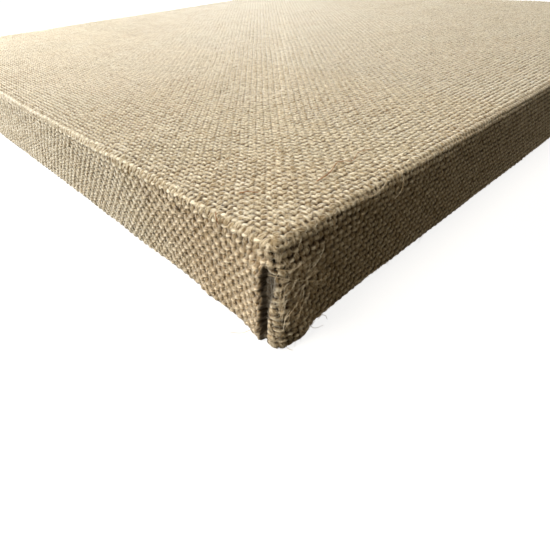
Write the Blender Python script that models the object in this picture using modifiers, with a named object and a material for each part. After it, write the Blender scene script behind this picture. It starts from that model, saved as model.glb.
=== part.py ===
"""A square stretched canvas, lying face up on its back.

Four mitred stretcher bars lock together at the corners with tongues and slots. Two wooden
keys at each corner wedge the slots open. Coarse cloth wraps the face and the sides, turns
under at the back and is stapled there. Units are metres and +Z points out of the face.
"""

import math

import bmesh
import bpy
from mathutils import Matrix, Vector

INCH = 0.0254

# The assembled frame
PANEL_SIDE = 20 * INCH
BAR_DEPTH = 1.5 * INCH
BAR_WIDTH = 0.042
CLEARANCE = 0.0003

# The cloth skin
CLOTH_THICKNESS = 0.0012
HEM_WIDTH = 0.034
FOLD_RADIUS = 0.0022
FOLD_SEGMENTS = 3

# The bar's section: a raised bead at the outer edge holds the cloth off the wood
BEAD_WIDTH = 0.007
BEAD_RADIUS = 0.002
BEAD_STEP = 0.003
INNER_DROP = 0.005
EDGE_EASE = 0.001
ARC_SEGMENTS = 4

# The corner joint: heights above the back of the bar
TONGUE_HEIGHT = 0.005
LOWER_SLOT = 0.0085
UPPER_SLOT = 0.0185
TONGUE_SHORTFALL = 0.001
TONGUE_ROOT = 0.012

# The keys
KEY_LENGTH = 0.038
KEY_TIP = 0.009
KEY_HEAD = 0.016
KEY_DEPTH_IN = 0.025
KEY_CORNER = 0.003

# The staples, of flat wire
STAPLE_CROWN = 0.010
STAPLE_LEG = 0.008
STAPLE_WIRE_WIDTH = 0.00127
STAPLE_WIRE_THICKNESS = 0.0005
STAPLE_RECESS = 0.0001
STAPLES_PER_SIDE = 11
STAPLE_PITCH = 0.0455
STAPLE_INSET = 0.014
STAPLE_LEAN = math.radians(8)

SIDES = ("front", "right", "back", "left")
BAR_BASE = CLOTH_THICKNESS + CLEARANCE
OVERCUT = 0.002

MATERIALS = {
    "jute": ((0.47, 0.36, 0.22), 0.95, 0.0),
    "pine": ((0.71, 0.52, 0.31), 0.62, 0.0),
    "beech": ((0.60, 0.38, 0.20), 0.55, 0.0),
    "staple_steel": ((0.62, 0.62, 0.60), 0.32, 1.0),
}


def clear_scene():
    for item in list(bpy.data.objects):
        bpy.data.objects.remove(item, do_unlink=True)


def new_collection(name, is_helper=False):
    collection = bpy.data.collections.new(name)
    collection.hide_render = is_helper
    bpy.context.scene.collection.children.link(collection)
    return collection


def new_material(name):
    colour, roughness, metallic = MATERIALS[name]
    material = bpy.data.materials.new(name)
    material.use_nodes = True
    shader = material.node_tree.nodes["Principled BSDF"]
    shader.inputs["Base Color"].default_value = (*colour, 1.0)
    shader.inputs["Roughness"].default_value = roughness
    shader.inputs["Metallic"].default_value = metallic
    return material


def add_object(name, mesh, collection, material=None, parent=None):
    item = bpy.data.objects.new(name, mesh)
    collection.objects.link(item)
    if material and not mesh.materials:
        mesh.materials.append(material)
    item.parent = parent
    return item


def add_cutter(name, mesh, collection, parent=None):
    cutter = add_object(name, mesh, collection, parent=parent)
    cutter.hide_render = True
    cutter.display_type = "WIRE"
    return cutter


def add_boolean(item, cutter, operation):
    modifier = item.modifiers.new(f"{operation.lower()}_{cutter.name}", "BOOLEAN")
    modifier.operation = operation
    modifier.solver = "EXACT"
    modifier.object = cutter


def finished_mesh(item, name):
    """The object's mesh with its modifiers applied."""
    graph = bpy.context.evaluated_depsgraph_get()
    mesh = bpy.data.meshes.new_from_object(item.evaluated_get(graph), depsgraph=graph)
    mesh.name = name
    return mesh


def box_mesh(name, low, high):
    """A box between two corners, made from a unit cube."""
    shape = bmesh.new()
    bmesh.ops.create_cube(shape, size=1.0)
    size = Vector(high) - Vector(low)
    centre = (Vector(high) + Vector(low)) / 2
    bmesh.ops.transform(shape, matrix=Matrix.LocRotScale(centre, None, size), verts=shape.verts)
    mesh = bpy.data.meshes.new(name)
    shape.to_mesh(mesh)
    shape.free()
    return mesh


def prism(outline, depth):
    """A flat outline in XY, drawn anticlockwise, pushed out both ways along Z."""
    shape = bmesh.new()
    corners = [shape.verts.new((x, y, -depth / 2)) for x, y in outline]
    base = shape.faces.new(corners)
    grown = bmesh.ops.extrude_face_region(shape, geom=[base])
    top = [part for part in grown["geom"] if isinstance(part, bmesh.types.BMVert)]
    bmesh.ops.translate(shape, verts=top, vec=(0, 0, depth))
    bmesh.ops.recalc_face_normals(shape, faces=shape.faces)
    return shape


def mesh_from(shape, name):
    mesh = bpy.data.meshes.new(name)
    shape.to_mesh(mesh)
    shape.free()
    return mesh


def arc(centre, radius, start_degrees, end_degrees):
    """Points along an arc, both ends included."""
    points = []
    for step in range(ARC_SEGMENTS + 1):
        angle = math.radians(start_degrees + (end_degrees - start_degrees) * step / ARC_SEGMENTS)
        points.append((centre[0] + radius * math.cos(angle), centre[1] + radius * math.sin(angle)))
    return points


def bar_section():
    """The bar's outline as (inward, height), anticlockwise from the outer back edge."""
    shoulder = BEAD_WIDTH + BEAD_STEP
    outline = arc((EDGE_EASE, EDGE_EASE), EDGE_EASE, 180, 270)
    outline += arc((BAR_WIDTH - EDGE_EASE, EDGE_EASE), EDGE_EASE, 270, 360)
    outline += arc((BAR_WIDTH - EDGE_EASE, BAR_DEPTH - INNER_DROP - EDGE_EASE), EDGE_EASE, 0, 80)
    outline.append((shoulder, BAR_DEPTH - BEAD_STEP))
    outline += arc((BEAD_WIDTH - BEAD_RADIUS, BAR_DEPTH - BEAD_RADIUS), BEAD_RADIUS, 30, 90)
    outline += arc((BEAD_RADIUS, BAR_DEPTH - BEAD_RADIUS), BEAD_RADIUS, 90, 180)
    return outline


def mitred_blank():
    """A plain bar along X with its outer face at y = 0 and both ends cut at 45 degrees."""
    shape = prism(bar_section(), PANEL_SIDE)
    section_to_length = Matrix(((0, 0, 1, 0), (1, 0, 0, 0), (0, 1, 0, 0), (0, 0, 0, 1)))
    bmesh.ops.transform(shape, matrix=section_to_length, verts=shape.verts)
    end_gap = CLEARANCE / math.sqrt(2)
    for corner in shape.verts:
        corner.co.x -= math.copysign(corner.co.y + end_gap, corner.co.x)
    return mesh_from(shape, "mitred_blank")


def tongue_mesh(name, end, base):
    """The tenon at one end of a bar; end is +1 or -1 along X and base is its height."""
    root = PANEL_SIDE / 2 - BAR_WIDTH - TONGUE_ROOT
    tip = PANEL_SIDE / 2 - TONGUE_SHORTFALL
    low_x, high_x = sorted((end * root, end * tip))
    low = (low_x, CLEARANCE, base + CLEARANCE)
    high = (high_x, BAR_WIDTH - CLEARANCE, base + TONGUE_HEIGHT - CLEARANCE)
    return box_mesh(name, low, high)


def key_width(distance_from_tip):
    return KEY_TIP + (KEY_HEAD - KEY_TIP) * distance_from_tip / (KEY_LENGTH - KEY_CORNER)


def slot_reach():
    """How far past the neighbour's tongue the slot runs, to take the key."""
    return key_width(KEY_DEPTH_IN) + CLEARANCE


def slot_mesh(name, end, base):
    """The saw slot at one end of a bar, open at the mitre, the inner and the outer face."""
    inner = PANEL_SIDE / 2 - BAR_WIDTH - slot_reach()
    outer = PANEL_SIDE / 2 + OVERCUT
    low_x, high_x = sorted((end * inner, end * outer))
    low = (low_x, -OVERCUT, base)
    high = (high_x, BAR_WIDTH + OVERCUT, base + TONGUE_HEIGHT)
    return box_mesh(name, low, high)


def staple_shape(grow):
    """A staple with its crown low and its legs up +Z, the wire thicker by grow on every side."""
    half = STAPLE_CROWN / 2 + grow
    thick = STAPLE_WIRE_THICKNESS + 2 * grow
    top = STAPLE_LEG + grow
    point = top - STAPLE_WIRE_THICKNESS
    outline = [
        (-half, -grow),
        (half, -grow),
        (half, point),
        (half - thick, top),
        (half - thick, -grow + thick),
        (thick - half, -grow + thick),
        (thick - half, top),
        (-half, point),
    ]
    shape = prism(outline, STAPLE_WIRE_WIDTH + 2 * grow)
    bmesh.ops.rotate(shape, verts=shape.verts, matrix=Matrix.Rotation(math.pi / 2, 3, "X"))
    return shape


def staple_places():
    """Where each staple of one side sits: its matrix in that side's own frame."""
    places = []
    for number in range(STAPLES_PER_SIDE):
        offset = (number - (STAPLES_PER_SIDE - 1) / 2) * STAPLE_PITCH
        lean = STAPLE_LEAN if number % 2 else -STAPLE_LEAN
        spot = Vector((offset, STAPLE_INSET, STAPLE_RECESS))
        places.append(Matrix.LocRotScale(spot, Matrix.Rotation(lean, 3, "Z"), None))
    return places


def staple_holes_mesh():
    """Clearance round all the staples of one side, as one cutter."""
    mesh = mesh_from(staple_shape(CLEARANCE), "staple_clearance")
    joined = bmesh.new()
    for place in staple_places():
        first = len(joined.verts)
        joined.from_mesh(mesh)
        joined.verts.ensure_lookup_table()
        bmesh.ops.transform(joined, matrix=place, verts=joined.verts[first:])
    bpy.data.meshes.remove(mesh)
    return mesh_from(joined, "staple_holes")


def bar_mesh(helpers):
    """One finished bar in its side's frame; the four bars are alike."""
    blank = add_cutter("bar_blank", mitred_blank(), helpers)
    blank.location.z = BAR_BASE
    pieces = (
        ("tongue_right", tongue_mesh, 1, LOWER_SLOT, "UNION"),
        ("tongue_left", tongue_mesh, -1, UPPER_SLOT, "UNION"),
        ("slot_right", slot_mesh, 1, UPPER_SLOT, "DIFFERENCE"),
        ("slot_left", slot_mesh, -1, LOWER_SLOT, "DIFFERENCE"),
    )
    for name, make, end, base, operation in pieces:
        cutter = add_cutter(name, make(name, end, base), helpers)
        cutter.location.z = BAR_BASE
        add_boolean(blank, cutter, operation)
    holes = add_cutter("bar_staple_holes", staple_holes_mesh(), helpers)
    add_boolean(blank, holes, "DIFFERENCE")
    bpy.context.view_layer.update()
    mesh = finished_mesh(blank, "stretcher_bar")
    for name in [piece[0] for piece in pieces] + ["bar_staple_holes", "bar_blank"]:
        bpy.data.objects.remove(bpy.data.objects[name], do_unlink=True)
    return mesh


def key_mesh():
    """A flat wedge: its tip at the origin, its long side on x = 0, widening towards +Y."""
    outline = [
        (0, 0),
        (0, KEY_LENGTH),
        (-KEY_HEAD + KEY_CORNER, KEY_LENGTH),
        (-KEY_HEAD, KEY_LENGTH - KEY_CORNER),
        (-KEY_TIP, 0),
    ]
    shape = prism(outline, TONGUE_HEIGHT - 2 * CLEARANCE)
    return mesh_from(shape, "corner_key")


def add_keys(side, side_frame, mesh, collection, material):
    """A key beside the neighbour's tongue at each end of one bar, its tip inside the slot."""
    tip_x = PANEL_SIDE / 2 - BAR_WIDTH - CLEARANCE / 2
    tip_y = BAR_WIDTH - KEY_DEPTH_IN
    neighbours = {
        1: SIDES[(SIDES.index(side) + 1) % len(SIDES)],
        -1: SIDES[SIDES.index(side) - 1],
    }
    for end, base in ((1, UPPER_SLOT), (-1, LOWER_SLOT)):
        name = f"key_{side}_bar_{neighbours[end]}"
        key = add_object(name, mesh, collection, material, side_frame)
        key.location = (end * tip_x, tip_y, BAR_BASE + base + TONGUE_HEIGHT / 2)
        key.rotation_euler.y = 0 if end > 0 else math.pi


def add_staples(side, side_frame, mesh, collection, material):
    for number, place in enumerate(staple_places(), start=1):
        staple = add_object(f"staple_{side}_{number:02d}", mesh, collection, material, side_frame)
        staple.matrix_local = place


def add_side(side, turn, meshes, collection, materials):
    """One side of the panel: a frame at its outer edge holds the bar, keys and staples."""
    side_frame = bpy.data.objects.new(f"side_{side}", None)
    collection.objects.link(side_frame)
    out = Matrix.Rotation(turn, 4, "Z")
    side_frame.matrix_world = out @ Matrix.Translation((0, -PANEL_SIDE / 2, 0))
    bar = add_object(f"bar_{side}", meshes["bar"], collection, materials["pine"], side_frame)
    bar.location.z = BAR_BASE
    add_keys(side, side_frame, meshes["key"], collection, materials["beech"])
    add_staples(side, side_frame, meshes["staple"], collection, materials["staple_steel"])
    return side_frame


def add_canvas(side_frames, collection, helpers, material):
    """The cloth as one thin shell, open at the back inside its turned-under hem."""
    inside = PANEL_SIDE / 2 + CLEARANCE
    outside = inside + CLOTH_THICKNESS
    top = BAR_BASE + BAR_DEPTH + CLEARANCE
    opening = PANEL_SIDE / 2 - HEM_WIDTH
    skin = box_mesh("canvas", (-outside, -outside, 0), (outside, outside, top + CLOTH_THICKNESS))
    canvas = add_object("canvas", skin, collection, material)
    rounding = canvas.modifiers.new("soft_edges", "BEVEL")
    rounding.width = FOLD_RADIUS
    rounding.segments = FOLD_SEGMENTS
    hollow = box_mesh("canvas_hollow", (-inside, -inside, CLOTH_THICKNESS), (inside, inside, top))
    add_boolean(canvas, add_cutter("canvas_hollow", hollow, helpers), "DIFFERENCE")
    hole = box_mesh(
        "canvas_opening", (-opening, -opening, -OVERCUT), (opening, opening, CLOTH_THICKNESS + OVERCUT)
    )
    add_boolean(canvas, add_cutter("canvas_opening", hole, helpers), "DIFFERENCE")
    holes = staple_holes_mesh()
    for side, side_frame in side_frames.items():
        cutter = add_cutter(f"hem_holes_{side}", holes, helpers, side_frame)
        add_boolean(canvas, cutter, "DIFFERENCE")


def smooth_rounded_faces(items):
    for item in items:
        item.data.shade_smooth()
        item.data.set_sharp_from_angle(angle=math.radians(35))


def build():
    clear_scene()
    parts = new_collection("stretched_canvas")
    helpers = new_collection("cutters", is_helper=True)
    materials = {name: new_material(name) for name in MATERIALS}
    meshes = {
        "bar": bar_mesh(helpers),
        "key": key_mesh(),
        "staple": mesh_from(staple_shape(0), "staple"),
    }
    side_frames = {
        side: add_side(side, math.pi / 2 * number, meshes, parts, materials)
        for number, side in enumerate(SIDES)
    }
    add_canvas(side_frames, parts, helpers, materials["jute"])
    smooth_rounded_faces([bpy.data.objects["bar_front"], bpy.data.objects["canvas"]])


build()
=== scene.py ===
import math

import bpy
import numpy as np
from mathutils import Matrix, Vector


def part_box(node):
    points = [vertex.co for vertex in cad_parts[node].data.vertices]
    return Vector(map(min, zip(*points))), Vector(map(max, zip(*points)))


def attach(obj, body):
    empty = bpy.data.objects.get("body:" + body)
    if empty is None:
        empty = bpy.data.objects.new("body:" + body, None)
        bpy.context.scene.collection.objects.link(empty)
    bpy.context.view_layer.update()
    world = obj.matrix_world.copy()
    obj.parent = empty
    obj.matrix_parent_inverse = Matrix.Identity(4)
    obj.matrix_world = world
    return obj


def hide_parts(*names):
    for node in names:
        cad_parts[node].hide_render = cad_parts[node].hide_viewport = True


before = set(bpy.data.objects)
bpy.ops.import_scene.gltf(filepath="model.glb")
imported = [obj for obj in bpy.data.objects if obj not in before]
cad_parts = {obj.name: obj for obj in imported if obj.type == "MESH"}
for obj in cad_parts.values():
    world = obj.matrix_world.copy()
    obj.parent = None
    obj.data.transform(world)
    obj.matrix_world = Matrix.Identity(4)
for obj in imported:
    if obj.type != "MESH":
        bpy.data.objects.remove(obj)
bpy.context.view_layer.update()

MM = 0.001

# Camera: where it stands from the panel's nearest bottom corner, and how it looks there.
CAMERA_FROM_CORNER = Vector((-60.2, -69.3, 105.3)) * MM
CAMERA_YAW = math.radians(48.85)
CAMERA_PITCH = math.radians(38.85)
CAMERA_ROLL = math.radians(-3.79)
CAMERA_LENS = 27.0

# The cloth lies round the CAD canvas: its base surface is a little inside, and its yarns
# stand out of it.
canvas_low, canvas_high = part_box("canvas")
SURFACE_DEPTH = 0.6 * MM
BASE_HALF = canvas_high.x - SURFACE_DEPTH
BASE_TOP = canvas_high.z - SURFACE_DEPTH
HEM_LEVEL = 0.6 * MM
TOP_RADIUS = 2.2 * MM
BOTTOM_RADIUS = 1.8 * MM
HEM_WIDTH = 34 * MM
FACE_HALF = BASE_HALF - TOP_RADIUS
TOP_ARC = TOP_RADIUS * math.pi / 2
BOTTOM_ARC = BOTTOM_RADIUS * math.pi / 2
SIDE_DROP = BASE_TOP - TOP_RADIUS - HEM_LEVEL - BOTTOM_RADIUS
SIDE_END = TOP_ARC + SIDE_DROP
HEM_START = SIDE_END + BOTTOM_ARC
HEM_RUN = HEM_WIDTH - (canvas_high.x - BASE_HALF) - BOTTOM_RADIUS
ARM_LENGTH = HEM_START + HEM_RUN
SHEET_SIDE = 2 * (FACE_HALF + ARM_LENGTH)

# Yarns: spacing across the face, and on the folded-down arms, where the pull is different.
# The warp runs along Y and the weft along X.
WARP_PITCH = 2.24 * MM
WEFT_PITCH = 2.5 * MM
SIDE_WARP_PITCH = 2.7 * MM
SIDE_WEFT_PITCH = 2.48 * MM
WARP_CRIMP = 0.62 * MM
WEFT_CRIMP = 0.42 * MM
PULLED_CRIMP = 0.2 * MM
YARN_HEIGHT = 0.5 * MM
GAP_FLOOR = -0.65 * MM
PLY_DEPTH = 0.1 * MM
# How much the painted shade in the gaps is lessened on the left and right arms, and how much painted shade
# darkens the flanks of the warp yarns there.
SIDE_GAP_FILL = 0.25
FLANK_SHADE = 0.3

# Half the width of a yarn as a share of its pitch, and the shares by which yarns vary.
WARP_SIZE = 0.24
WEFT_SIZE = 0.38
LEADER_THINNER = 0.14
SLUB_SIZE = 0.04
DRIFT_SIZE = 0.03
CROWN_SIZE = 0.03
FLAT_SIZE = 0.05
FLAT_DROP = 0.45
WANDER = 0.1
CROWN_CHANCE = 0.2

# Runs of cloth over which things change: the pull on an arm, slubs, a yarn's width and tone.
PULL_RUN = 8 * MM
SLUB_RUN = 6 * MM
DRIFT_RUN = 60 * MM
TONE_RUN = 5 * MM
YARN_TONE_RUN = 300 * MM

# How far the rows lean, in yarns to a metre: the cloth was pulled off square near the corner.
SKEW_REACH = 90 * MM
WARP_SKEW = 0.033 / MM
WEFT_SKEW = 0.027 / MM
FRONT_SKEW = 0.045 / MM
LEFT_SKEW = 0.11 / MM

# Corner folds: the front and back arms wrap past the corner and end in a fold on the left
# and right sides.
FOLD_TOP = 34 * MM
FOLD_OPEN = 31 * MM
FOLD_BOTTOM_OFFSET = 5.3 * MM
FOLD_TOP_OFFSET = 1.95 * MM
FOLD_DEPTH = 0.5 * MM
LIP_WIDTH = 1.4 * MM
FOLD_FLOOR = 2.7 * MM
FOLD_GAPE = 1.6 * MM
FOLD_COLUMNS = 36
OUTER_FLAPS = ("front", "back")
OUTER_HEM_DROP = 0.7 * MM
INNER_HEM_RISE = 0.35 * MM
PRESSED_RISE = 0.35 * MM

# Levels at the floor, and how far loose fibres may reach from the canvas.
REST_LEVEL = -0.4 * MM
FLOOR_GIVE = 0.12
FLOOR_LEVEL = -0.9 * MM
STAPLED_LEVEL = 1.3 * MM
LOWEST_FIBRE = -0.7 * MM
FIBRE_REACH = 7 * MM

# Shortest and longest, and thinnest and thickest, of the fibres that stand out of the cloth.
FUZZ_LENGTH = (0.9 * MM, 3.2 * MM)
FUZZ_THICKNESS = (0.03 * MM, 0.07 * MM)
WISP_LENGTH = (5 * MM, 13 * MM)
WISP_THICKNESS = (0.04 * MM, 0.08 * MM)


def noise_table(seed, size):
    return np.random.default_rng(seed).uniform(-1, 1, (size, size))


def lattice_noise(x, y, seed, size=128):
    """Smooth noise from -1 to 1 at points given in lattice steps."""
    table = noise_table(seed, size)
    column, row = np.floor(x).astype(int), np.floor(y).astype(int)
    across, along = x - column, y - row
    across = across * across * (3 - 2 * across)
    along = along * along * (3 - 2 * along)
    left, below = column % size, row % size
    right, above = (left + 1) % size, (below + 1) % size
    low = table[left, below] * (1 - across) + table[right, below] * across
    high = table[left, above] * (1 - across) + table[right, above] * across
    return low * (1 - along) + high * along


def yarn_noise(yarn, along, seed, size=512):
    """Smooth noise from -1 to 1 along each yarn, with nothing in common from one yarn to the next."""
    table = noise_table(seed, size)
    step = np.floor(along).astype(int)
    part = along - step
    part = part * part * (3 - 2 * part)
    row = yarn.astype(int) % size
    return table[row, step % size] * (1 - part) + table[row, (step + 1) % size] * part


def crown_noise(warp, weft, seed, size=512):
    """A number from -1 to 1 for each crossing of a warp and a weft yarn."""
    table = noise_table(seed, size)
    return table[warp.astype(int) % size, weft.astype(int) % size]


def smooth(low, high, value):
    """0 below low and 1 above high, or the other way round when low is the greater."""
    part = np.clip((value - low) / (high - low), 0, 1)
    return part * part * (3 - 2 * part)


def unit(vectors):
    return vectors / np.linalg.norm(vectors, axis=1, keepdims=True)


def yarn_phases(s, t):
    """How many yarns lie between the near corner and each point of the flat sheet, both ways."""
    over_left = np.maximum(-FACE_HALF - s, 0)
    over_right = np.maximum(s - FACE_HALF, 0)
    over_front = np.maximum(-FACE_HALF - t, 0)
    over_back = np.maximum(t - FACE_HALF, 0)
    x = np.clip(s, -FACE_HALF, FACE_HALF) + FACE_HALF
    y = np.clip(t, -FACE_HALF, FACE_HALF) + FACE_HALF
    warp = x / WARP_PITCH + (over_right - over_left) / SIDE_WARP_PITCH
    weft = y / WEFT_PITCH + (over_back - over_front) / SIDE_WEFT_PITCH
    reach = SKEW_REACH
    warp_lean = FRONT_SKEW * over_front * np.exp(-x / (2 * reach))
    weft_lean = LEFT_SKEW * over_left * np.exp(-y / (2 * reach))
    warp = warp + WARP_SKEW * reach * np.tanh(y / reach) - warp_lean
    weft = weft + WEFT_SKEW * reach * np.tanh(x / reach) - weft_lean
    warp = warp + 0.25 * lattice_noise(s / (42 * MM), t / (42 * MM), 21)
    weft = weft + 0.25 * lattice_noise(s / (38 * MM), t / (38 * MM), 22)
    return warp + 400, weft + 400


def rounded(value):
    return np.sqrt(np.clip(1 - value * value, 0, 1))


def ply(across, along, seed):
    """Ridges left by the twisted strands of a yarn, as a height from -1 to 1."""
    return lattice_noise((across + 0.45 * along) / (0.6 * MM), along / (1.9 * MM), seed, 1024)


def pressed(run):
    """How far the cloth is pressed flat, at a run past the face's edge, by the bars' edges."""
    at_top = 0.55 * np.exp(-(((run - TOP_ARC / 2) / (2.2 * MM)) ** 2))
    at_bottom = 0.5 * np.exp(-(((run - SIDE_END - BOTTOM_ARC / 2) / (2.0 * MM)) ** 2))
    return at_top + at_bottom


def crest(wave, pull):
    """A wave with its crests and hollows drawn out, as a thin stiff yarn takes them.

    They are drawn out most where pull is 1.
    """
    return np.sign(wave) * np.abs(wave) ** (0.65 - 0.2 * np.maximum(pull, 0))


def yarn_sizes(warp, weft, s, t, weft_leads):
    """Half the width of each yarn before it swells on a crown, as a share of its pitch."""
    warp_slub = SLUB_SIZE * yarn_noise(warp, t / SLUB_RUN, 13)
    weft_slub = SLUB_SIZE * yarn_noise(weft, s / SLUB_RUN, 14)
    warp_size = WARP_SIZE + LEADER_THINNER * weft_leads + warp_slub
    weft_size = WEFT_SIZE - LEADER_THINNER * weft_leads + weft_slub
    warp_size = warp_size + DRIFT_SIZE * yarn_noise(warp, t / DRIFT_RUN, 31)
    weft_size = weft_size + DRIFT_SIZE * yarn_noise(weft, s / DRIFT_RUN, 32)
    return warp_size, weft_size


def yarn_tones(warp, weft, s, t, painted_light_offset):
    """How pale each yarn is, from about -1 to 1, with painted light: the offset makes the warp paler and
    the weft darker.
    """
    warp_tone = yarn_noise(warp, t / TONE_RUN, 15) * 0.5
    weft_tone = yarn_noise(weft, s / TONE_RUN, 16) * 0.5
    warp_tone = warp_tone + yarn_noise(warp, t / YARN_TONE_RUN, 33) * 0.25 + painted_light_offset
    weft_tone = weft_tone + yarn_noise(weft, s / YARN_TONE_RUN, 34) * 0.25 - painted_light_offset
    return warp_tone, weft_tone


def weave(s, t):
    """A plain weave over the flat sheet.

    Returns each point's height above the base surface, its tone, which holds painted light,
    its relief from 0 in a gap to 1 on a crown, which the material turns into painted shade,
    how much it is a crest, which gets a painted highlight, and whether the warp is on top there.
    """
    u, v = yarn_phases(s, t)
    warp, weft = np.floor(u), np.floor(v)
    f = u - warp - 0.5 + WANDER * yarn_noise(warp, t / SLUB_RUN, 11)
    g = v - weft - 0.5 + WANDER * yarn_noise(weft, s / SLUB_RUN, 12)
    over = 1 - 2 * ((warp + weft) % 2)
    crown = crown_noise(warp, weft, 17)
    # Yarns that run down an arm are pulled straight, so the ones that cross them stand out.
    weft_leads = smooth(0, PULL_RUN, np.abs(t) - FACE_HALF)
    pull = smooth(0, PULL_RUN, np.abs(s) - FACE_HALF) - weft_leads
    warp_wave = over * np.cos(math.pi * g)
    weft_wave = -over * np.cos(math.pi * f)
    warp_rise = crest(warp_wave, pull) * (1 - weft_leads) + warp_wave * weft_leads
    weft_rise = crest(weft_wave, 0) * weft_leads + weft_wave * (1 - weft_leads)
    warp_size, weft_size = yarn_sizes(warp, weft, s, t, weft_leads)
    warp_size = warp_size + CROWN_SIZE * warp_rise + CROWN_SIZE * crown
    weft_size = weft_size + CROWN_SIZE * weft_rise - CROWN_SIZE * crown
    warp_crimp = (WARP_CRIMP + PULLED_CRIMP * pull) * (1 + CROWN_CHANCE * crown)
    weft_crimp = (WEFT_CRIMP - PULLED_CRIMP * pull) * (1 + CROWN_CHANCE * crown)
    warp_flat = np.maximum(-pull, 0)
    weft_flat = np.maximum(pull, 0)
    warp_size = warp_size + FLAT_SIZE * warp_flat
    weft_size = weft_size + FLAT_SIZE * weft_flat
    warp_body = YARN_HEIGHT * (1 - FLAT_DROP * warp_flat)
    weft_body = YARN_HEIGHT * (1 - FLAT_DROP * weft_flat)
    warp_height = warp_crimp * warp_rise + warp_body * rounded(f / warp_size)
    weft_height = weft_crimp * weft_rise + weft_body * rounded(g / weft_size)
    warp_height = warp_height + PLY_DEPTH * ply(s, t, 41)
    weft_height = weft_height + PLY_DEPTH * ply(t, s, 42)
    warp_height = np.where(np.abs(f) < warp_size, warp_height, GAP_FLOOR)
    weft_height = np.where(np.abs(g) < weft_size, weft_height, GAP_FLOOR)
    height = np.maximum(np.maximum(warp_height, weft_height), GAP_FLOOR)
    warp_on_top = warp_height > weft_height
    # Painted light: the offset makes the yarns that run level along the sides paler and those that run
    # down them darker, as if lit from above; on the face the warp is a little paler.
    warp_tone, weft_tone = yarn_tones(warp, weft, s, t, 0.2 + 0.65 * pull)
    tone = np.where(warp_on_top, warp_tone, weft_tone) + 0.4 * crown_noise(warp, weft, 18)
    highest = np.where(warp_on_top, warp_crimp + warp_body, weft_crimp + weft_body)
    relief = np.clip((height - GAP_FLOOR) / (highest - GAP_FLOOR), 0, 1)
    leads = np.where(warp_on_top, 1 - weft_leads, weft_leads)
    centre = np.where(warp_on_top, rounded(f / warp_size), rounded(g / weft_size))
    # On the left and right arms: less painted shade in the gaps, and painted shade on the flanks of the
    # warp yarns on top.
    flank = FLANK_SHADE * warp_on_top * (1 - centre)
    relief = relief + weft_flat * (SIDE_GAP_FILL * (1 - relief) - flank)
    # Painted highlight: a pale line along the crest of each leading yarn.
    painted_crest_highlight = leads * smooth(0.72, 0.97, centre) * smooth(0.72, 0.9, relief)
    return height, tone, relief, painted_crest_highlight, warp_on_top.astype(np.float32)


def profile(q):
    """Where an arm is after a run q of cloth from the face's edge.

    Returns how far out from the face, the height, and the normal's outward and upward parts.
    """
    top_turn = np.clip(q, 0, TOP_ARC) / TOP_RADIUS
    bottom_turn = np.clip(q - SIDE_END, 0, BOTTOM_ARC) / BOTTOM_RADIUS
    drop = np.clip(q - TOP_ARC, 0, SIDE_DROP)
    inward = np.maximum(q - HEM_START, 0)
    out = TOP_RADIUS * np.sin(top_turn) - BOTTOM_RADIUS * (1 - np.cos(bottom_turn)) - inward
    height = BASE_TOP - TOP_RADIUS * (1 - np.cos(top_turn)) - drop
    height = height - BOTTOM_RADIUS * np.sin(bottom_turn)
    turn = top_turn + bottom_turn
    return out, height, np.sin(turn), np.cos(turn)


def fold_offset(height):
    """How far from the corner the fold's groove runs, at each height."""
    lean = FOLD_TOP_OFFSET - FOLD_BOTTOM_OFFSET
    return FOLD_BOTTOM_OFFSET + lean * np.clip(height / FOLD_OPEN, 0, 1.1) ** 1.6


def fold_floor(height):
    """Width of the groove's floor: it gapes at the top of the fold."""
    return FOLD_FLOOR + FOLD_GAPE * smooth(16 * MM, 27 * MM, height)


def fold_opening(height):
    """1 where the fold stands open, closing towards its top and just above the bottom edge."""
    return smooth(FOLD_TOP, FOLD_OPEN, height) * (0.45 + 0.55 * smooth(1 * MM, 5 * MM, height))


def crease_shade(distance):
    """1 in the depth of a fold, fading out on its lip: where shade is painted into the fold."""
    return smooth(0.75 * LIP_WIDTH, 0.2 * LIP_WIDTH, distance)


def lip(distance):
    """From 0 at the bottom of a groove to 1 past its rounded lip."""
    return rounded(1 - np.clip(distance / LIP_WIDTH, 0, 1))


def flap_swell(along, height, scale):
    """How far the thick outer flap stands out of its side, at a distance along from the corner."""
    below = smooth(37 * MM, 29 * MM, height)
    low = smooth(15 * MM, 2 * MM, height)
    body = 1.5 * np.exp(-((along / (13 * MM)) ** 2)) + 0.5 * np.exp(-((along / (34 * MM)) ** 2))
    lobe = 1.7 * np.exp(-(((along - 9.5 * MM) / (4.6 * MM)) ** 2))
    return scale * MM * (below * body + low * lobe)


def inner_swell(along, height, scale):
    """How far the cloth beside the fold stands out, on the sides that the flaps end on."""
    below = smooth(37 * MM, 29 * MM, height)
    low = smooth(20 * MM, 2 * MM, height)
    body = 1.6 * np.exp(-(((along - 7 * MM) / (7 * MM)) ** 2))
    shelf = 1.2 * smooth(50 * MM, 36 * MM, along)
    return scale * MM * (below * body + low * shelf)


def density_lines(length, pitch):
    """Distances from the near corner: many to a yarn close by, fewer far off."""
    fine, middle, rest = ((10, 6, 4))
    near_end, middle_end = 36, 66
    yarns = length / pitch
    near = np.arange(0, near_end, 1 / fine)
    mid = np.arange(near_end, middle_end, 1 / middle)
    far = np.arange(middle_end, yarns, 1 / rest)
    lines = np.concatenate([near, mid, far, [yarns]])
    return lines * pitch


def arm_lines(pitch, coarse):
    """Runs past the face's edge: many to a yarn on the sides that are seen closely."""
    fine, rest = ((9, 4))
    to_yarn = rest if coarse else fine
    side = np.arange(1, HEM_START / pitch * to_yarn) / to_yarn
    hem = np.arange(HEM_START / pitch, ARM_LENGTH / pitch, 1 / rest)
    return np.concatenate([side, hem, [ARM_LENGTH / pitch]]) * pitch


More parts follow.
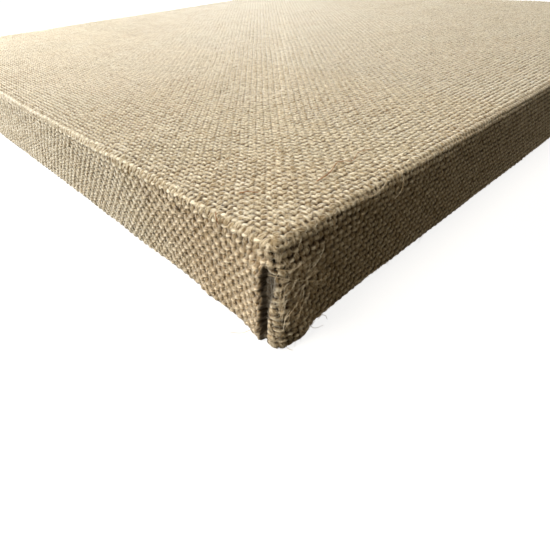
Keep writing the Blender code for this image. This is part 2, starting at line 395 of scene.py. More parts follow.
class Sheet:
    """Collects the cloth's vertices and quads."""

    def __init__(self):
        self.blocks = []
        self.quads = []
        self.count = 0

    def add(self, **arrays):
        shape = np.broadcast_shapes(*(np.shape(a) for a in arrays.values()))
        self.blocks.append({k: np.broadcast_to(a, shape).reshape(-1) for k, a in arrays.items()})
        ids = np.arange(self.count, self.count + int(np.prod(shape))).reshape(shape)
        self.count += ids.size
        return ids

    def weave_quads(self, ids, flip):
        a, b, c, d = ids[:-1, :-1], ids[1:, :-1], ids[1:, 1:], ids[:-1, 1:]
        order = (a, d, c, b) if flip else (a, b, c, d)
        self.quads.append(np.stack([x.reshape(-1) for x in order], axis=1))

    def column(self, name):
        return np.concatenate([block[name] for block in self.blocks])

    def columns(self, *names):
        return np.stack([self.column(name) for name in names], axis=1)


def staple_spots():
    """The middle of each staple, seen from above."""
    spots = []
    for name in sorted(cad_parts):
        if name.startswith("staple_"):
            low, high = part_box(name)
            spots.append(((low + high) / 2).to_2d())
    return spots


class Arm:
    """One folded-down side of the sheet: its rows of cloth, where they lie, and how they fade."""

    def __init__(self, side, coarse):
        self.is_outer = side in OUTER_FLAPS
        self.sign = -1 if side in ("front", "left") else 1
        pitch = SIDE_WEFT_PITCH if self.is_outer else SIDE_WARP_PITCH
        self.q = arm_lines(pitch, coarse)[:, None]
        self.out, self.height, self.normal_out, self.normal_up = profile(self.q)
        self.hem_fade = 1 - smooth(SIDE_END + 0.6 * BOTTOM_ARC, HEM_START + 4 * MM, self.q)
        self.in_hem = smooth(HEM_START - BOTTOM_ARC, HEM_START + 3 * MM, self.q)
        self.opening = smooth(FOLD_TOP, FOLD_OPEN, self.height)


def arm_swell(arm, nearest, scale):
    """How far an arm's cloth stands out, how far it is out of a fold, and where shade is painted in its
    fold.
    """
    if arm.is_outer:
        swell = flap_swell(nearest, arm.height, scale) * arm.hem_fade
        return swell, np.ones_like(swell), np.zeros_like(swell)
    distance = nearest - fold_offset(arm.height) - fold_floor(arm.height) / 2
    groove = 1 - (1 - lip(distance)) * fold_opening(arm.height) * arm.hem_fade
    crease = crease_shade(distance) * arm.opening * arm.hem_fade
    swell = inner_swell(nearest, arm.height, scale) * arm.hem_fade
    return swell * groove - FOLD_DEPTH * (1 - groove), groove, crease


def add_arm(sheet, side, lines, edge_ids, coarse):
    """One arm of the sheet: over the top edge, down the side, round the bottom and in under the bar."""
    arm = Arm(side, coarse)
    along = lines[None, :] - FACE_HALF
    from_low, from_high = along + canvas_high.x, canvas_high.x - along
    nearest = np.minimum(from_low, from_high)
    scale = np.where(from_low < from_high, 1.0, 0.75)
    if arm.sign > 0:
        scale = scale * 0.8
    swell, groove, crease = arm_swell(arm, nearest, scale)
    swell = swell + PRESSED_RISE * pressed(arm.q)
    across = arm.sign * (FACE_HALF + arm.out)
    run = arm.sign * (FACE_HALF + arm.q)
    turned = arm.sign * arm.normal_out
    # At the back the inner arms' hems lie under the ends of the outer arms' hems.
    if arm.is_outer:
        level = -OUTER_HEM_DROP * smooth(40 * MM, 33 * MM, nearest) * arm.in_hem
        place = {"x": along, "y": across, "nx": 0.0, "ny": turned, "s": along, "t": run}
    else:
        level = INNER_HEM_RISE * arm.in_hem
        place = {"x": across, "y": along, "nx": turned, "ny": 0.0, "s": run, "t": along}
    ids = sheet.add(**place, z=arm.height + level, nz=arm.normal_up, swell=swell, crease=crease,
                    keep=(0.35 + 0.65 * groove) * (1 - pressed(arm.q)), hem=arm.in_hem)
    grid = np.vstack([edge_ids[None, :], ids])
    sheet.weave_quads(grid, flip=(side in ("back", "left")))
    if arm.is_outer:
        add_corner(sheet, arm, -1, scale[0, 0], grid[:, 0])
        add_corner(sheet, arm, 1, scale[0, -1], grid[:, -1])


def add_corner(sheet, arm, end, scale, edge_ids):
    """The rest of an outer flap: round the vertical corner, on to the next side, and in at the fold."""
    bend = TOP_RADIUS + 1.2 * MM
    quarter = bend * math.pi / 2
    corner_gap = canvas_high.x - FACE_HALF
    run_on = fold_offset(arm.height) - fold_floor(arm.height) / 2 - corner_gap
    run_on = np.maximum(run_on, -0.45 * quarter) * arm.opening
    part = np.linspace(0, 1, FOLD_COLUMNS + 1)[None, 1:]
    reach = quarter + run_on
    d = part * np.maximum(reach, quarter)
    turn = np.minimum(d, quarter) / bend
    straight = np.maximum(d - quarter, 0)
    groove = 1 - (1 - lip(reach - d)) * fold_opening(arm.height)
    crease = crease_shade(reach - d) * arm.opening * arm.hem_fade
    swell = flap_swell(corner_gap + 0 * d, arm.height, scale) * arm.hem_fade
    swell = swell * groove - FOLD_DEPTH * (1 - groove) * smooth(0.75 * quarter, quarter, d)
    tuck = 6 * MM * np.clip(straight / (4 * MM), 0, 1)
    out = np.maximum(arm.out, -tuck)
    radial_x = end * np.sin(turn)
    radial_y = arm.sign * np.cos(turn)
    pole_x, pole_y = end * FACE_HALF, arm.sign * FACE_HALF
    ids = sheet.add(x=pole_x + radial_x * out, y=pole_y + radial_y * out - arm.sign * straight,
                    z=arm.height - OUTER_HEM_DROP * arm.in_hem, nx=radial_x * arm.normal_out,
                    ny=radial_y * arm.normal_out, nz=arm.normal_up, s=end * (FACE_HALF + d),
                    t=arm.sign * (FACE_HALF + arm.q), swell=swell, crease=crease, hem=arm.in_hem,
                    keep=(0.35 + 0.65 * groove) * smooth(0.2 * MM, 3.2 * MM, arm.q))
    pole = sheet.add(x=pole_x + 0 * part, y=pole_y, z=BASE_TOP, nx=0.0, ny=0.0, nz=1.0, s=pole_x, t=pole_y,
                     swell=0.0, keep=0.0, crease=0.0, hem=0.0)
    corner = np.hstack([edge_ids[:, None], np.vstack([pole, ids])])
    sheet.weave_quads(corner, flip=(arm.sign < 0) == (end < 0))


def beside_fold(place):
    """Which points are in a corner fold or on its lips, where loose fibres would hide it."""
    from_corner = canvas_high.y - np.abs(place[:, 1])
    height = place[:, 2]
    inside = np.abs(from_corner - fold_offset(height)) < fold_floor(height) / 2 + 1.6 * MM
    return inside & (np.abs(place[:, 0]) > FACE_HALF) & (height < FOLD_TOP)


def press_under_staples(place, hem):
    """Draws the hem up to the bars round each staple; returns how much, from 0 to 1, at each point."""
    under = np.zeros(len(place))
    chosen = np.flatnonzero(hem > 0.5)
    for spot in staple_spots():
        away = np.hypot(place[chosen, 0] - spot.x, place[chosen, 1] - spot.y)
        under[chosen] = np.maximum(under[chosen], np.exp(-((away / (4.5 * MM)) ** 2)))
    place[:, 2] = place[:, 2] * (1 - under) + STAPLED_LEVEL * under
    return under


def cloth_sheet():
    """The whole cloth before it is woven: the face and its four arms."""
    sheet = Sheet()
    x_lines = density_lines(2 * FACE_HALF, WARP_PITCH)
    y_lines = density_lines(2 * FACE_HALF, WEFT_PITCH)
    x = x_lines[:, None] - FACE_HALF
    y = y_lines[None, :] - FACE_HALF
    press = pressed(np.maximum(np.abs(x), np.abs(y)) - FACE_HALF)
    face = sheet.add(x=x, y=y, z=BASE_TOP, nx=0.0, ny=0.0, nz=1.0, s=x, t=y, swell=PRESSED_RISE * press,
                     keep=1 - press, crease=0.0, hem=0.0)
    sheet.weave_quads(face, flip=False)
    add_arm(sheet, "front", x_lines, face[:, 0], False)
    add_arm(sheet, "left", y_lines, face[0, :], False)
    add_arm(sheet, "back", x_lines, face[:, -1], True)
    add_arm(sheet, "right", y_lines, face[-1, :], True)
    return sheet


def make_cloth():
    """The whole cloth as one open sheet, woven in its flat coordinates and wrapped round the bars.

    Returns it with the places, normals and yarn directions of the crowns that fibres grow from.
    """
    sheet = cloth_sheet()
    s, t = sheet.column("s"), sheet.column("t")
    height, tone, relief, painted_crest_highlight, warp_on_top = weave(s, t)
    wave = 0.3 * MM * lattice_noise(s / (33 * MM) + 5, t / (33 * MM), 23)
    wave = wave + 0.14 * MM * lattice_noise(s / (9 * MM), t / (9 * MM), 24)
    hem = sheet.column("hem")
    lift = height * sheet.column("keep") + wave * (1 - hem) + sheet.column("swell")
    normal = sheet.columns("nx", "ny", "nz")
    place = sheet.columns("x", "y", "z")
    under = press_under_staples(place, hem)
    lift = lift * (1 - 0.6 * under)
    place = place + normal * lift[:, None]
    # The thick corner folds rest on the floor, which flattens them.
    sunk = np.maximum(REST_LEVEL - place[:, 2], 0)
    place[:, 2] = np.maximum(place[:, 2], REST_LEVEL) - FLOOR_GIVE * sunk
    # Where the weave is pressed flat, the painted shade in its gaps fades with it.
    relief = 1 - (1 - relief) * smooth(0, 1.0, sheet.column("keep"))
    values = {
        "yarn_tone": tone,
        "relief": relief,
        "crest": painted_crest_highlight,
        "warp_on_top": warp_on_top,
        "crease": sheet.column("crease"),
    }
    flat = np.stack([s, t, np.zeros_like(s)], axis=1)
    piece = mesh_piece("jute_canvas", place, np.concatenate(sheet.quads), values, flat)
    outside = np.flatnonzero((hem < 0.02) & (relief > 0.7) & ~beside_fold(place))
    normal = unit(normal[outside])
    return piece, place[outside], normal, along_yarns(normal, warp_on_top[outside])


def add_object(name, data):
    """A new object in the scene."""
    added = bpy.data.objects.new(name, data)
    bpy.context.scene.collection.objects.link(added)
    return added


def mesh_piece(name, places, faces, values, flat=None):
    """A mesh object from arrays, with a float attribute for each of values, smooth shaded."""
    mesh = bpy.data.meshes.new(name)
    corners = faces.shape[1]
    mesh.vertices.add(len(places))
    mesh.vertices.foreach_set("co", places.astype(np.float32).reshape(-1))
    mesh.loops.add(faces.size)
    mesh.loops.foreach_set("vertex_index", faces.astype(np.int32).reshape(-1))
    mesh.polygons.add(len(faces))
    mesh.polygons.foreach_set("loop_start", np.arange(0, faces.size, corners, dtype=np.int32))
    mesh.polygons.foreach_set("use_smooth", np.ones(len(faces), bool))
    mesh.update(calc_edges=True)
    for key, value in values.items():
        attribute = mesh.attributes.new(key, "FLOAT", "POINT")
        attribute.data.foreach_set("value", np.asarray(value, np.float32).reshape(-1))
    if flat is not None:
        attribute = mesh.attributes.new("sheet", "FLOAT_VECTOR", "POINT")
        attribute.data.foreach_set("vector", flat.astype(np.float32).reshape(-1))
        baked = mesh.uv_layers.new(name="OFBake")
        spread = flat[:, :2] / SHEET_SIDE + 0.5
        baked.data.foreach_set("uv", spread[faces.reshape(-1)].astype(np.float32).reshape(-1))
    return add_object(name, mesh)


def loose_fibres(name, roots, normals, count, length, thickness, seed, rise):
    """Many short curved fibres standing out of the cloth, as tapering three-sided tubes in one mesh."""
    random = np.random.default_rng(seed)
    chosen = random.integers(0, len(roots), count)
    start, out = roots[chosen], normals[chosen]
    spin = random.normal(size=(count, 3))
    flat = unit(spin - out * np.sum(spin * out, axis=1, keepdims=True))
    up = random.uniform(0.05, rise, (count, 1))
    heading = flat * np.sqrt(1 - up * up) + out * up
    run = random.uniform(*length, (count, 1))
    bend = random.normal(size=(count, 3)) * 0.35
    bend = bend - out * np.maximum(np.sum(bend * out, axis=1, keepdims=True), 0) - out * up * 0.6
    steps = np.linspace(0, 1, 6)[None, :, None]
    curve = heading[:, None] * steps + bend[:, None] * steps ** 2
    path = start[:, None] - out[:, None] * 0.15 * MM + run[:, None] * curve
    side = unit(np.cross(heading, out))
    other = np.cross(heading, side)
    radius = random.uniform(*thickness, (count, 1, 1)) * (1 - 0.8 * steps ** 2)
    return fibre_tubes(name, path, side, other, radius, random.uniform(-1, 1, count))


def along_yarns(normals, warp_on_top):
    """The direction that the yarn on top runs in, at points of the face and the sides."""
    level = np.stack([-normals[:, 1], normals[:, 0], np.zeros(len(normals))], axis=1)
    flat = normals[:, 2] > 0.7
    level[flat] = (0, 1, 0)
    level = unit(level)
    steep = np.cross(normals, level)
    warp_is_level = flat | (np.abs(normals[:, 0]) > np.abs(normals[:, 1]))
    runs_level = warp_is_level == (warp_on_top > 0.5)
    return np.where(runs_level[:, None], level, steep)


def lying_fibres(name, roots, normals, runs, count, seed):
    """Fibres worn loose from the yarns: each arches over a crown, more or less along its yarn."""
    random = np.random.default_rng(seed)
    near_corner = np.array([canvas_low.x, canvas_low.y, canvas_high.z])
    weight = np.exp(-np.linalg.norm(roots - near_corner, axis=1) / (90 * MM)) + 0.03
    chosen = random.choice(len(roots), count, p=weight / weight.sum())
    start, out, run = roots[chosen], normals[chosen], runs[chosen]
    across = np.cross(out, run)
    slant = random.normal(0.25, 0.35, (count, 1))
    heading = run * np.cos(slant) + across * np.sin(slant)
    sideways = np.cross(out, heading)
    length = random.uniform(1.4 * MM, 3.6 * MM, (count, 1, 1))
    steps = np.linspace(-0.5, 0.5, 5)[None, :, None]
    rise = random.uniform(0.1 * MM, 0.3 * MM, (count, 1, 1))
    arch = rise - random.uniform(0.6, 1.6, (count, 1, 1)) * MM * steps ** 2
    bend = random.normal(size=(count, 1, 1)) * 0.5 * length * steps ** 2
    path = start[:, None] + heading[:, None] * length * steps + out[:, None] * arch
    path = path + sideways[:, None] * bend
    radius = random.uniform(0.035 * MM, 0.075 * MM, (count, 1, 1)) * (1 - 2.4 * steps ** 2)
    tone = random.uniform(-1, 1, count)
    return fibre_tubes(name, path, sideways, out, radius, tone)


def fibre_tubes(name, path, side, other, radius, tone):
    """Three-sided tubes along the paths, in one mesh, leaving out any that strays far from the cloth."""
    low, high = np.array(canvas_low) - FIBRE_REACH, np.array(canvas_high) + FIBRE_REACH
    kept = np.all((path > low) & (path < high), axis=(1, 2))
    path, side, other, radius, tone = path[kept], side[kept], other[kept], radius[kept], tone[kept]
    count, rings = path.shape[:2]
    turns = []
    for k in range(3):
        angle = k * math.tau / 3
        spoke = side * math.cos(angle) + other * math.sin(angle)
        turns.append(path + spoke[:, None] * radius)
    places = np.stack(turns, axis=2).reshape(-1, 3)
    places[:, 2] = np.maximum(places[:, 2], LOWEST_FIBRE)
    ids = np.arange(count * rings * 3).reshape(count, rings, 3)
    around = np.roll(ids, -1, axis=2)
    faces = np.stack([ids[:, :-1], around[:, :-1], around[:, 1:], ids[:, 1:]], axis=-1).reshape(-1, 4)
    return mesh_piece(name, places, faces, {"fibre_tone": np.repeat(tone, rings * 3)})


def hair_tangle(name, count, seed):
    """Fine hairs that curl round the top of the near corner's fold and lie over the front beside it."""
    random = np.random.default_rng(seed)
    corner = np.array(canvas_low)
    start = np.stack([random.normal(4.5, 4.2, count), random.uniform(-4.6, -3.2, count),
                      random.normal(25, 5.5, count)], axis=1)
    start[:, 2] = np.clip(start[:, 2], 4, 38)
    turn = random.uniform(0, math.tau, count)
    curl = random.normal(0, 2.2, count)
    length = random.uniform(4.0, 15.0, count)
    steps = np.linspace(-0.5, 0.5, 9)[None, :]
    angle = turn[:, None] + curl[:, None] * steps
    stride = length[:, None] / 8
    x = start[:, :1] + np.cumsum(np.cos(angle) * stride, axis=1)
    z = start[:, 2:] + np.cumsum(np.sin(angle) * stride, axis=1)
    y = start[:, 1:2] + random.normal(0, 0.8, (count, 1)) * steps - 0.5 * np.maximum(-x, 0)
    y = np.minimum(y, -2.9 + 0.08 * np.maximum(x - 4, 0))
    path = corner + np.stack([x, y, np.minimum(z, 41.5)], axis=2) * MM
    side = np.stack([-np.sin(turn), np.zeros(count), np.cos(turn)], axis=1)
    other = np.tile((0.0, 1.0, 0.0), (count, 1))
    radius = random.uniform(0.045, 0.085, (count, 1, 1)) * MM * (1 - 2.4 * steps[:, :, None] ** 2)
    return fibre_tubes(name, path, side, other, radius, random.uniform(-1, 1, count))


def bark_flecks(name, spots, scattered, roots, normals, seed):
    """Dark bits of bark caught in the cloth: thin uneven scales, each given by place, normal and size."""
    random = np.random.default_rng(seed)
    corner = np.array(canvas_low)
    chosen = random.integers(0, len(roots), scattered)
    named = np.array(spots)
    place = np.vstack([corner + named[:, :3] * MM, roots[chosen]])
    out = np.vstack([named[:, 3:6], normals[chosen]])
    length = np.concatenate([named[:, 6], random.uniform(0.4, 1.3, scattered)]) * MM
    count = len(place)
    spin = random.normal(size=(count, 3))
    side = unit(np.cross(out, spin))
    other = np.cross(out, side)
    angle = np.arange(7) * math.tau / 7
    reach = random.uniform(0.55, 1.0, (count, 7, 1)) * length[:, None, None] / 2
    rim = side[:, None] * np.cos(angle)[None, :, None]
    rim = rim + 0.6 * other[:, None] * np.sin(angle)[None, :, None]
    middle = place + out * 0.12 * MM
    edge = place[:, None] + rim * reach - out[:, None] * 0.05 * MM
    points = np.concatenate([middle[:, None], edge], axis=1)
    ids = np.arange(count * 8).reshape(count, 8)
    around = np.roll(ids[:, 1:], -1, axis=1)
    hub = np.broadcast_to(ids[:, :1], around.shape)
    faces = np.stack([hub, ids[:, 1:], around], axis=-1).reshape(-1, 3)
    tone = np.repeat(random.uniform(-1, 1, count), 8)
    return mesh_piece(name, points.reshape(-1, 3), faces, {"fibre_tone": tone})


def hem_fray(name, count, seed):
    """Cut yarn ends along the hem's inner edges, under the bars."""
    random = np.random.default_rng(seed)
    inner = FACE_HALF + profile(np.array([ARM_LENGTH]))[0][0]
    along = random.uniform(-inner, inner, count)
    side = random.integers(0, 4, count)
    inward = np.array([(0, 1, 0), (-1, 0, 0), (0, -1, 0), (1, 0, 0)], float)[side]
    run = np.array([(1, 0, 0), (0, 1, 0), (-1, 0, 0), (0, -1, 0)], float)[side]
    level = HEM_LEVEL + random.uniform(-0.2, 0.3, count) * MM
    start = run * along[:, None] - inward * inner
    start[:, 2] = level
    length = random.uniform(1.5, 5.0, (count, 1, 1)) * MM
    steps = np.linspace(-0.3, 1, 7)[None, :, None]
    sway = random.normal(0, 0.3, (count, 1, 1)) * length * steps ** 2
    lift = random.uniform(-0.1, 0.35, (count, 1, 1)) * length * steps ** 2
    up = np.tile((0.0, 0.0, 1.0), (count, 1))
    path = start[:, None] + inward[:, None] * length * steps + run[:, None] * sway + up[:, None] * lift
    radius = random.uniform(0.16, 0.34, (count, 1, 1)) * MM * (1 - 0.75 * np.clip(steps, 0, 1) ** 2)
    return fibre_tubes(name, path, run, up, radius, random.uniform(-1, 1, count))


def hand_laid_fibres(name, routes, thickness):
    """Longer fibres, each a smooth curve through points measured from the near bottom corner."""
    corner = Vector(canvas_low)
    data = bpy.data.curves.new(name, "CURVE")
    data.dimensions = "3D"
    data.bevel_depth = thickness
    data.bevel_resolution = 1
    data.use_fill_caps = True
    data.resolution_u = 6
    for route in routes:
        spline = data.splines.new("BEZIER")
        spline.bezier_points.add(len(route) - 1)
        for k, (point, offset) in enumerate(zip(spline.bezier_points, route)):
            point.co = corner + Vector(offset) * MM
            point.handle_left_type = point.handle_right_type = "AUTO"
            point.radius = 1 - 0.6 * k / len(route)
    return add_object(name, data)


# Long pale fibres round the corner fold and along the edges, in millimetres from the near
# bottom corner.
STRAY_FIBRES = [
    [(1, -4, 29.5), (3.6, -4.6, 25), (6.1, -4.5, 17.4), (5.6, -4.2, 13.9), (4.1, -4, 11)],
    [(-1.2, -2.6, 35.4), (3.3, -4.3, 33.6), (8.2, -4.1, 33.8)],
    [(6.6, -3.8, 33.9), (9, -4, 29.3)],
    [(-3.2, -1.4, 34), (1.6, -4, 31), (7.7, -4.3, 27), (11.1, -3.9, 26.9), (14.5, -3.5, 28)],
    [(-0.2, -3.8, 16), (3.1, -4.6, 19.1), (4.9, -4.7, 20.9)],
    [(5.7, -4.6, 18.6), (7.1, -4.7, 21.8), (7.8, -4, 24.5)],
    [(9.4, -3.9, 25.6), (15.8, -3.9, 22), (21.8, -2.6, 20.9)],
    [(8.8, -4, 17), (10.2, -4.3, 21.4), (9.8, -3.8, 25.8)],
    [(-0.6, 64.8, 37.4), (-1.2, 56.1, 34), (-0.9, 48.9, 32.5)],
    [(-0.5, 96, 24), (-1.1, 90.5, 17.5), (-0.8, 86, 13)],
    [(39, 0.6, 41.8), (42.5, -1.3, 39.6), (48, -1.6, 40.3), (53.5, -0.4, 41.9)],
    [(57, -0.6, 31.5), (59.4, -1.5, 33.4), (61.1, -1.8, 36.8), (62.7, 0.5, 41.6)],
    [(70.5, 0.6, 41.9), (76, -1.4, 41.2), (82, -1, 42.6)],
    [(98, 0.4, 42), (104, -1.6, 41.4), (109, -1.3, 39)],
    [(21, 0.8, 41.9), (23.4, -1.6, 39.6), (24.2, -1.9, 35.4)],
    [(13.8, -1, 1.6), (15.2, -2, -0.4), (18.6, -3.2, -0.7)],
    [(19.8, -0.2, 1.6), (21.5, -1.5, 0.8), (21.9, -2.2, -0.8)],
    [(-0.9, 12, 1.4), (-3.8, 14.6, -0.4), (-6.6, 18, -0.5)],
    [(2.2, -0.6, 0.8), (2, -2.4, 0), (2.9, -3.6, -0.6)],
]

# A rust-coloured thread that lies across the face, and two short pieces of the same.
RUST_THREADS = [
    [(36.4, 16.4, 41.7), (43.1, 16.8, 42.1), (48, 18.9, 42), (51.2, 20, 42.2), (54.1, 19.1, 42.1),
     (55.7, 17.2, 42.1), (60, 18.4, 42.2), (64, 20, 42.1), (69.9, 18.8, 41.7)],
    [(13.3, 29.9, 41.8), (15.2, 28, 42.1), (17.6, 25.2, 41.8)],
    [(0.9, 26.5, 41.2), (-0.6, 24.4, 40.6), (-0.7, 23.5, 38.9)],
]

# Bits of bark: place from the near bottom corner, normal, and length, with lengths in millimetres.
BARK_SPOTS = [
    (33.5, 130, 41.6, 0, 0, 1, 3),
    (119.5, 25.9, 41.6, 0, 0, 1, 2.2),
    (228.5, 85.9, 41.6, 0, 0, 1, 2.6),
    (-0.5, 48.4, 35.2, -1, 0, 0, 2.6),
    (-0.5, 49.3, 34.4, -1, 0, 0, 1.8),
    (-0.6, 24.6, 39.6, -1, 0, 0.3, 1.3),
]


class Nodes:
    """Short calls for building a material's node tree."""

    def __init__(self, name):
        self.material = bpy.data.materials.new(name)
        self.material.use_nodes = True
        self.tree = self.material.node_tree
        self.shader = self.tree.nodes["Principled BSDF"]

    def put(self, socket, value):
        if isinstance(value, bpy.types.NodeSocket):
            self.tree.links.new(value, socket)
        else:
            socket.default_value = value

    def set(self, **values):
        for name, value in values.items():
            self.put(self.shader.inputs[name.replace("_", " ")], value)

    def value(self, name):
        return self.attribute(name).outputs["Fac"]

    def vector(self, name):
        return self.attribute(name).outputs["Vector"]

    def attribute(self, name):
        node = self.tree.nodes.new("ShaderNodeAttribute")
        node.attribute_name = name
        return node

    def coordinates(self):
        return self.tree.nodes.new("ShaderNodeTexCoord").outputs["Object"]

    def facing(self):
        return self.tree.nodes.new("ShaderNodeLayerWeight").outputs["Facing"]

    def maths(self, operation, a, b=0.0, c=0.0):
        node = self.tree.nodes.new("ShaderNodeMath")
        node.operation = operation
        for socket, value in zip(node.inputs, (a, b, c)):
            self.put(socket, value)
        return node.outputs[0]

    def combine(self, x, y, z):
        node = self.tree.nodes.new("ShaderNodeCombineXYZ")
        for socket, value in zip(node.inputs, (x, y, z)):
            self.put(socket, value)
        return node.outputs[0]

    def separate(self, vector):
        node = self.tree.nodes.new("ShaderNodeSeparateXYZ")
        self.put(node.inputs[0], vector)
        return node.outputs

    def noise(self, vector, scale, detail=3.0, roughness=0.5, distortion=0.0):
        node = self.tree.nodes.new("ShaderNodeTexNoise")
        self.put(node.inputs["Vector"], vector)
        settings = {"Scale": scale, "Detail": detail, "Roughness": roughness, "Distortion": distortion}
        for name, value in settings.items():
            node.inputs[name].default_value = value
        return node.outputs["Fac"]

    def grain(self, across, along, across_scale, along_scale, layer):
        """Noise drawn out one way, as fibres lie."""
        scaled_across = self.maths("MULTIPLY", across, across_scale)
        scaled_along = self.maths("MULTIPLY", along, along_scale)
        return self.noise(self.combine(scaled_across, scaled_along, layer), 1.0, 2.0)

    def span(self, value, low, high, to_low=0.0, to_high=1.0):
        node = self.tree.nodes.new("ShaderNodeMapRange")
        node.interpolation_type = "SMOOTHSTEP"
        for socket, number in zip(node.inputs, (value, low, high, to_low, to_high)):
            self.put(socket, number)
        return node.outputs[0]

    def mix(self, part, a, b, blend="MIX"):
        node = self.tree.nodes.new("ShaderNodeMix")
        node.data_type = "RGBA"
        node.blend_type = blend
        self.put(node.inputs["Factor"], part)
        self.put(node.inputs[6], a)
        self.put(node.inputs[7], b)
        return node.outputs[2]

    def bump(self, height, distance, strength):
        node = self.tree.nodes.new("ShaderNodeBump")
        node.inputs["Strength"].default_value = strength
        node.inputs["Distance"].default_value = distance
        self.put(node.inputs["Height"], height)
        return node.outputs[0]


def colour(red, green, blue):
    return (red, green, blue, 1.0)


def jute_material():
    """Raw jute: pale straw crowns, painted brown shade between the yarns, twisted fibres along each yarn.
    """
    n = Nodes("woven_jute")
    tone, relief, warp_on_top = n.value("yarn_tone"), n.value("relief"), n.value("warp_on_top")
    crease, painted_crest_highlight = n.value("crease"), n.value("crest")
    s, t, _ = n.separate(n.vector("sheet"))
    flipped = n.maths("SUBTRACT", 1.0, warp_on_top)
    along = n.maths("ADD", n.maths("MULTIPLY", t, warp_on_top), n.maths("MULTIPLY", s, flipped))
    across = n.maths("ADD", n.maths("MULTIPLY", s, warp_on_top), n.maths("MULTIPLY", t, flipped))
    twisted = n.maths("MULTIPLY_ADD", along, 0.45, across)
    on_left = n.span(s, -FACE_HALF, -FACE_HALF - 8 * MM)
    near_corner = n.span(t, 100 * MM - FACE_HALF, 20 * MM - FACE_HALF)
    strands = n.grain(twisted, along, 1700.0, 480.0, 0.0)
    fibres = n.grain(twisted, along, 6500.0, 1100.0, 7.0)
    blotch = n.noise(n.vector("sheet"), 45.0, 3.0)
    tint = n.noise(n.vector("sheet"), 14.0, 3.0)
    fleck = n.noise(n.vector("sheet"), 900.0, 1.0)
    shaded = colour(0.27, 0.19, 0.095)
    crown = n.mix(n.span(tone, -0.9, 0.9), colour(0.42, 0.325, 0.19), colour(0.72, 0.61, 0.43))
    crown = n.mix(n.span(blotch, 0.45, 0.7, 0.0, 0.45), crown, colour(0.50, 0.36, 0.205))
    crown = n.mix(n.span(tint, 0.45, 0.65, 0.0, 0.35), crown, colour(0.56, 0.54, 0.41))
    crown = n.mix(n.span(strands, 0.45, 0.62, 0.0, 0.7), crown, colour(0.88, 0.82, 0.66))
    crown = n.mix(n.span(strands, 0.50, 0.36, 0.0, 0.75), crown, shaded)
    crown = n.mix(n.span(fibres, 0.46, 0.26, 0.0, 0.5), crown, shaded)
    crown = n.mix(n.span(fleck, 0.72, 0.82, 0.0, 0.7), crown, colour(0.33, 0.19, 0.085))
    # Painted highlight: the crests of the leading yarns are painted pale cream.
    crown = n.mix(n.span(painted_crest_highlight, 0.1, 0.9, 0.0, 0.75), crown, colour(0.95, 0.89, 0.73))
    # Painted sheen: the base colour turns pale by viewing angle, where fuzz is seen edge on.
    crown = n.mix(n.span(n.facing(), 0.44, 0.9, 0.0, 0.85), crown, colour(0.93, 0.91, 0.85))
    # Painted shade: by relief, the colour darkens to brown down the flanks and to near-black in the gaps
    # between yarns.
    body = n.mix(n.span(relief, 0.88, 0.48, 0.0, 0.95), crown, colour(0.18, 0.112, 0.050))
    body = n.mix(n.span(relief, 0.58, 0.26), body, colour(0.026, 0.016, 0.007))
    # Painted shade: the left side near the near corner is made darker and warmer.
    painted_left_shade = n.maths("MULTIPLY", on_left, near_corner)
    body = n.mix(painted_left_shade, body, colour(0.94, 0.86, 0.79), "MULTIPLY")
    # Painted shade: the depth of each corner fold is painted near-black.
    body = n.mix(n.maths("MULTIPLY", crease, 0.88), body, colour(0.016, 0.010, 0.005))
    height = n.maths("MULTIPLY_ADD", fibres, 0.4, strands)
    roughness = n.maths("MAXIMUM", n.span(fibres, 0.3, 0.7, 0.75, 0.5), crease)
    n.set(Base_Color=body, Roughness=roughness, Normal=n.bump(height, 0.0009, 0.8))
    n.set(Specular_IOR_Level=0.35)
    n.set(Sheen_Weight=0.35, Sheen_Roughness=0.4, Sheen_Tint=colour(1.0, 0.94, 0.82))
    return n.material


def drawn_out(n, along, across, up, along_scale, across_scale):
    """Coordinates for a pattern that runs along the grain."""
    return n.combine(
        n.maths("MULTIPLY", along, along_scale),
        n.maths("MULTIPLY", across, across_scale),
        n.maths("MULTIPLY", up, across_scale),
    )


def wood_material(name, grain_axis, pale, dark, ring_scale):
    """Sawn timber: rings drawn out along the grain, fine pores, and a brushed surface."""
    n = Nodes(name)
    x, y, z = n.separate(n.coordinates())
    along, across = (x, y) if grain_axis == "X" else (y, x)
    rings = n.noise(drawn_out(n, along, across, z, 3.0, 40.0), ring_scale, 4.0, 0.55, 0.6)
    pores = n.noise(drawn_out(n, along, across, z, 60.0, 2600.0), 1.0, 2.0)
    bands = n.maths("SINE", n.maths("MULTIPLY", rings, 26.0))
    pore_colour = colour(dark[0] * 0.7, dark[1] * 0.65, dark[2] * 0.6)
    base = n.mix(n.span(bands, -0.6, 1.0), colour(*pale), colour(*dark))
    base = n.mix(n.span(pores, 0.35, 0.7, 0.0, 0.35), base, pore_colour)
    n.set(Base_Color=base, Roughness=n.span(pores, 0.3, 0.7, 0.6, 0.78))
    n.set(Normal=n.bump(pores, 0.00012, 0.5))
    n.set(Specular_IOR_Level=0.3)
    return n.material


def steel_material():
    """Galvanised staple wire, dulled in patches."""
    n = Nodes("galvanised_steel")
    patches = n.noise(n.coordinates(), 700.0, 3.0)
    scratches = n.noise(n.coordinates(), 4000.0, 2.0)
    base = n.mix(n.span(patches, 0.35, 0.65), colour(0.62, 0.63, 0.64), colour(0.42, 0.42, 0.42))
    n.set(Base_Color=base, Metallic=1.0, Roughness=n.span(patches, 0.3, 0.7, 0.28, 0.5))
    n.set(Normal=n.bump(scratches, 0.00003, 0.4))
    return n.material


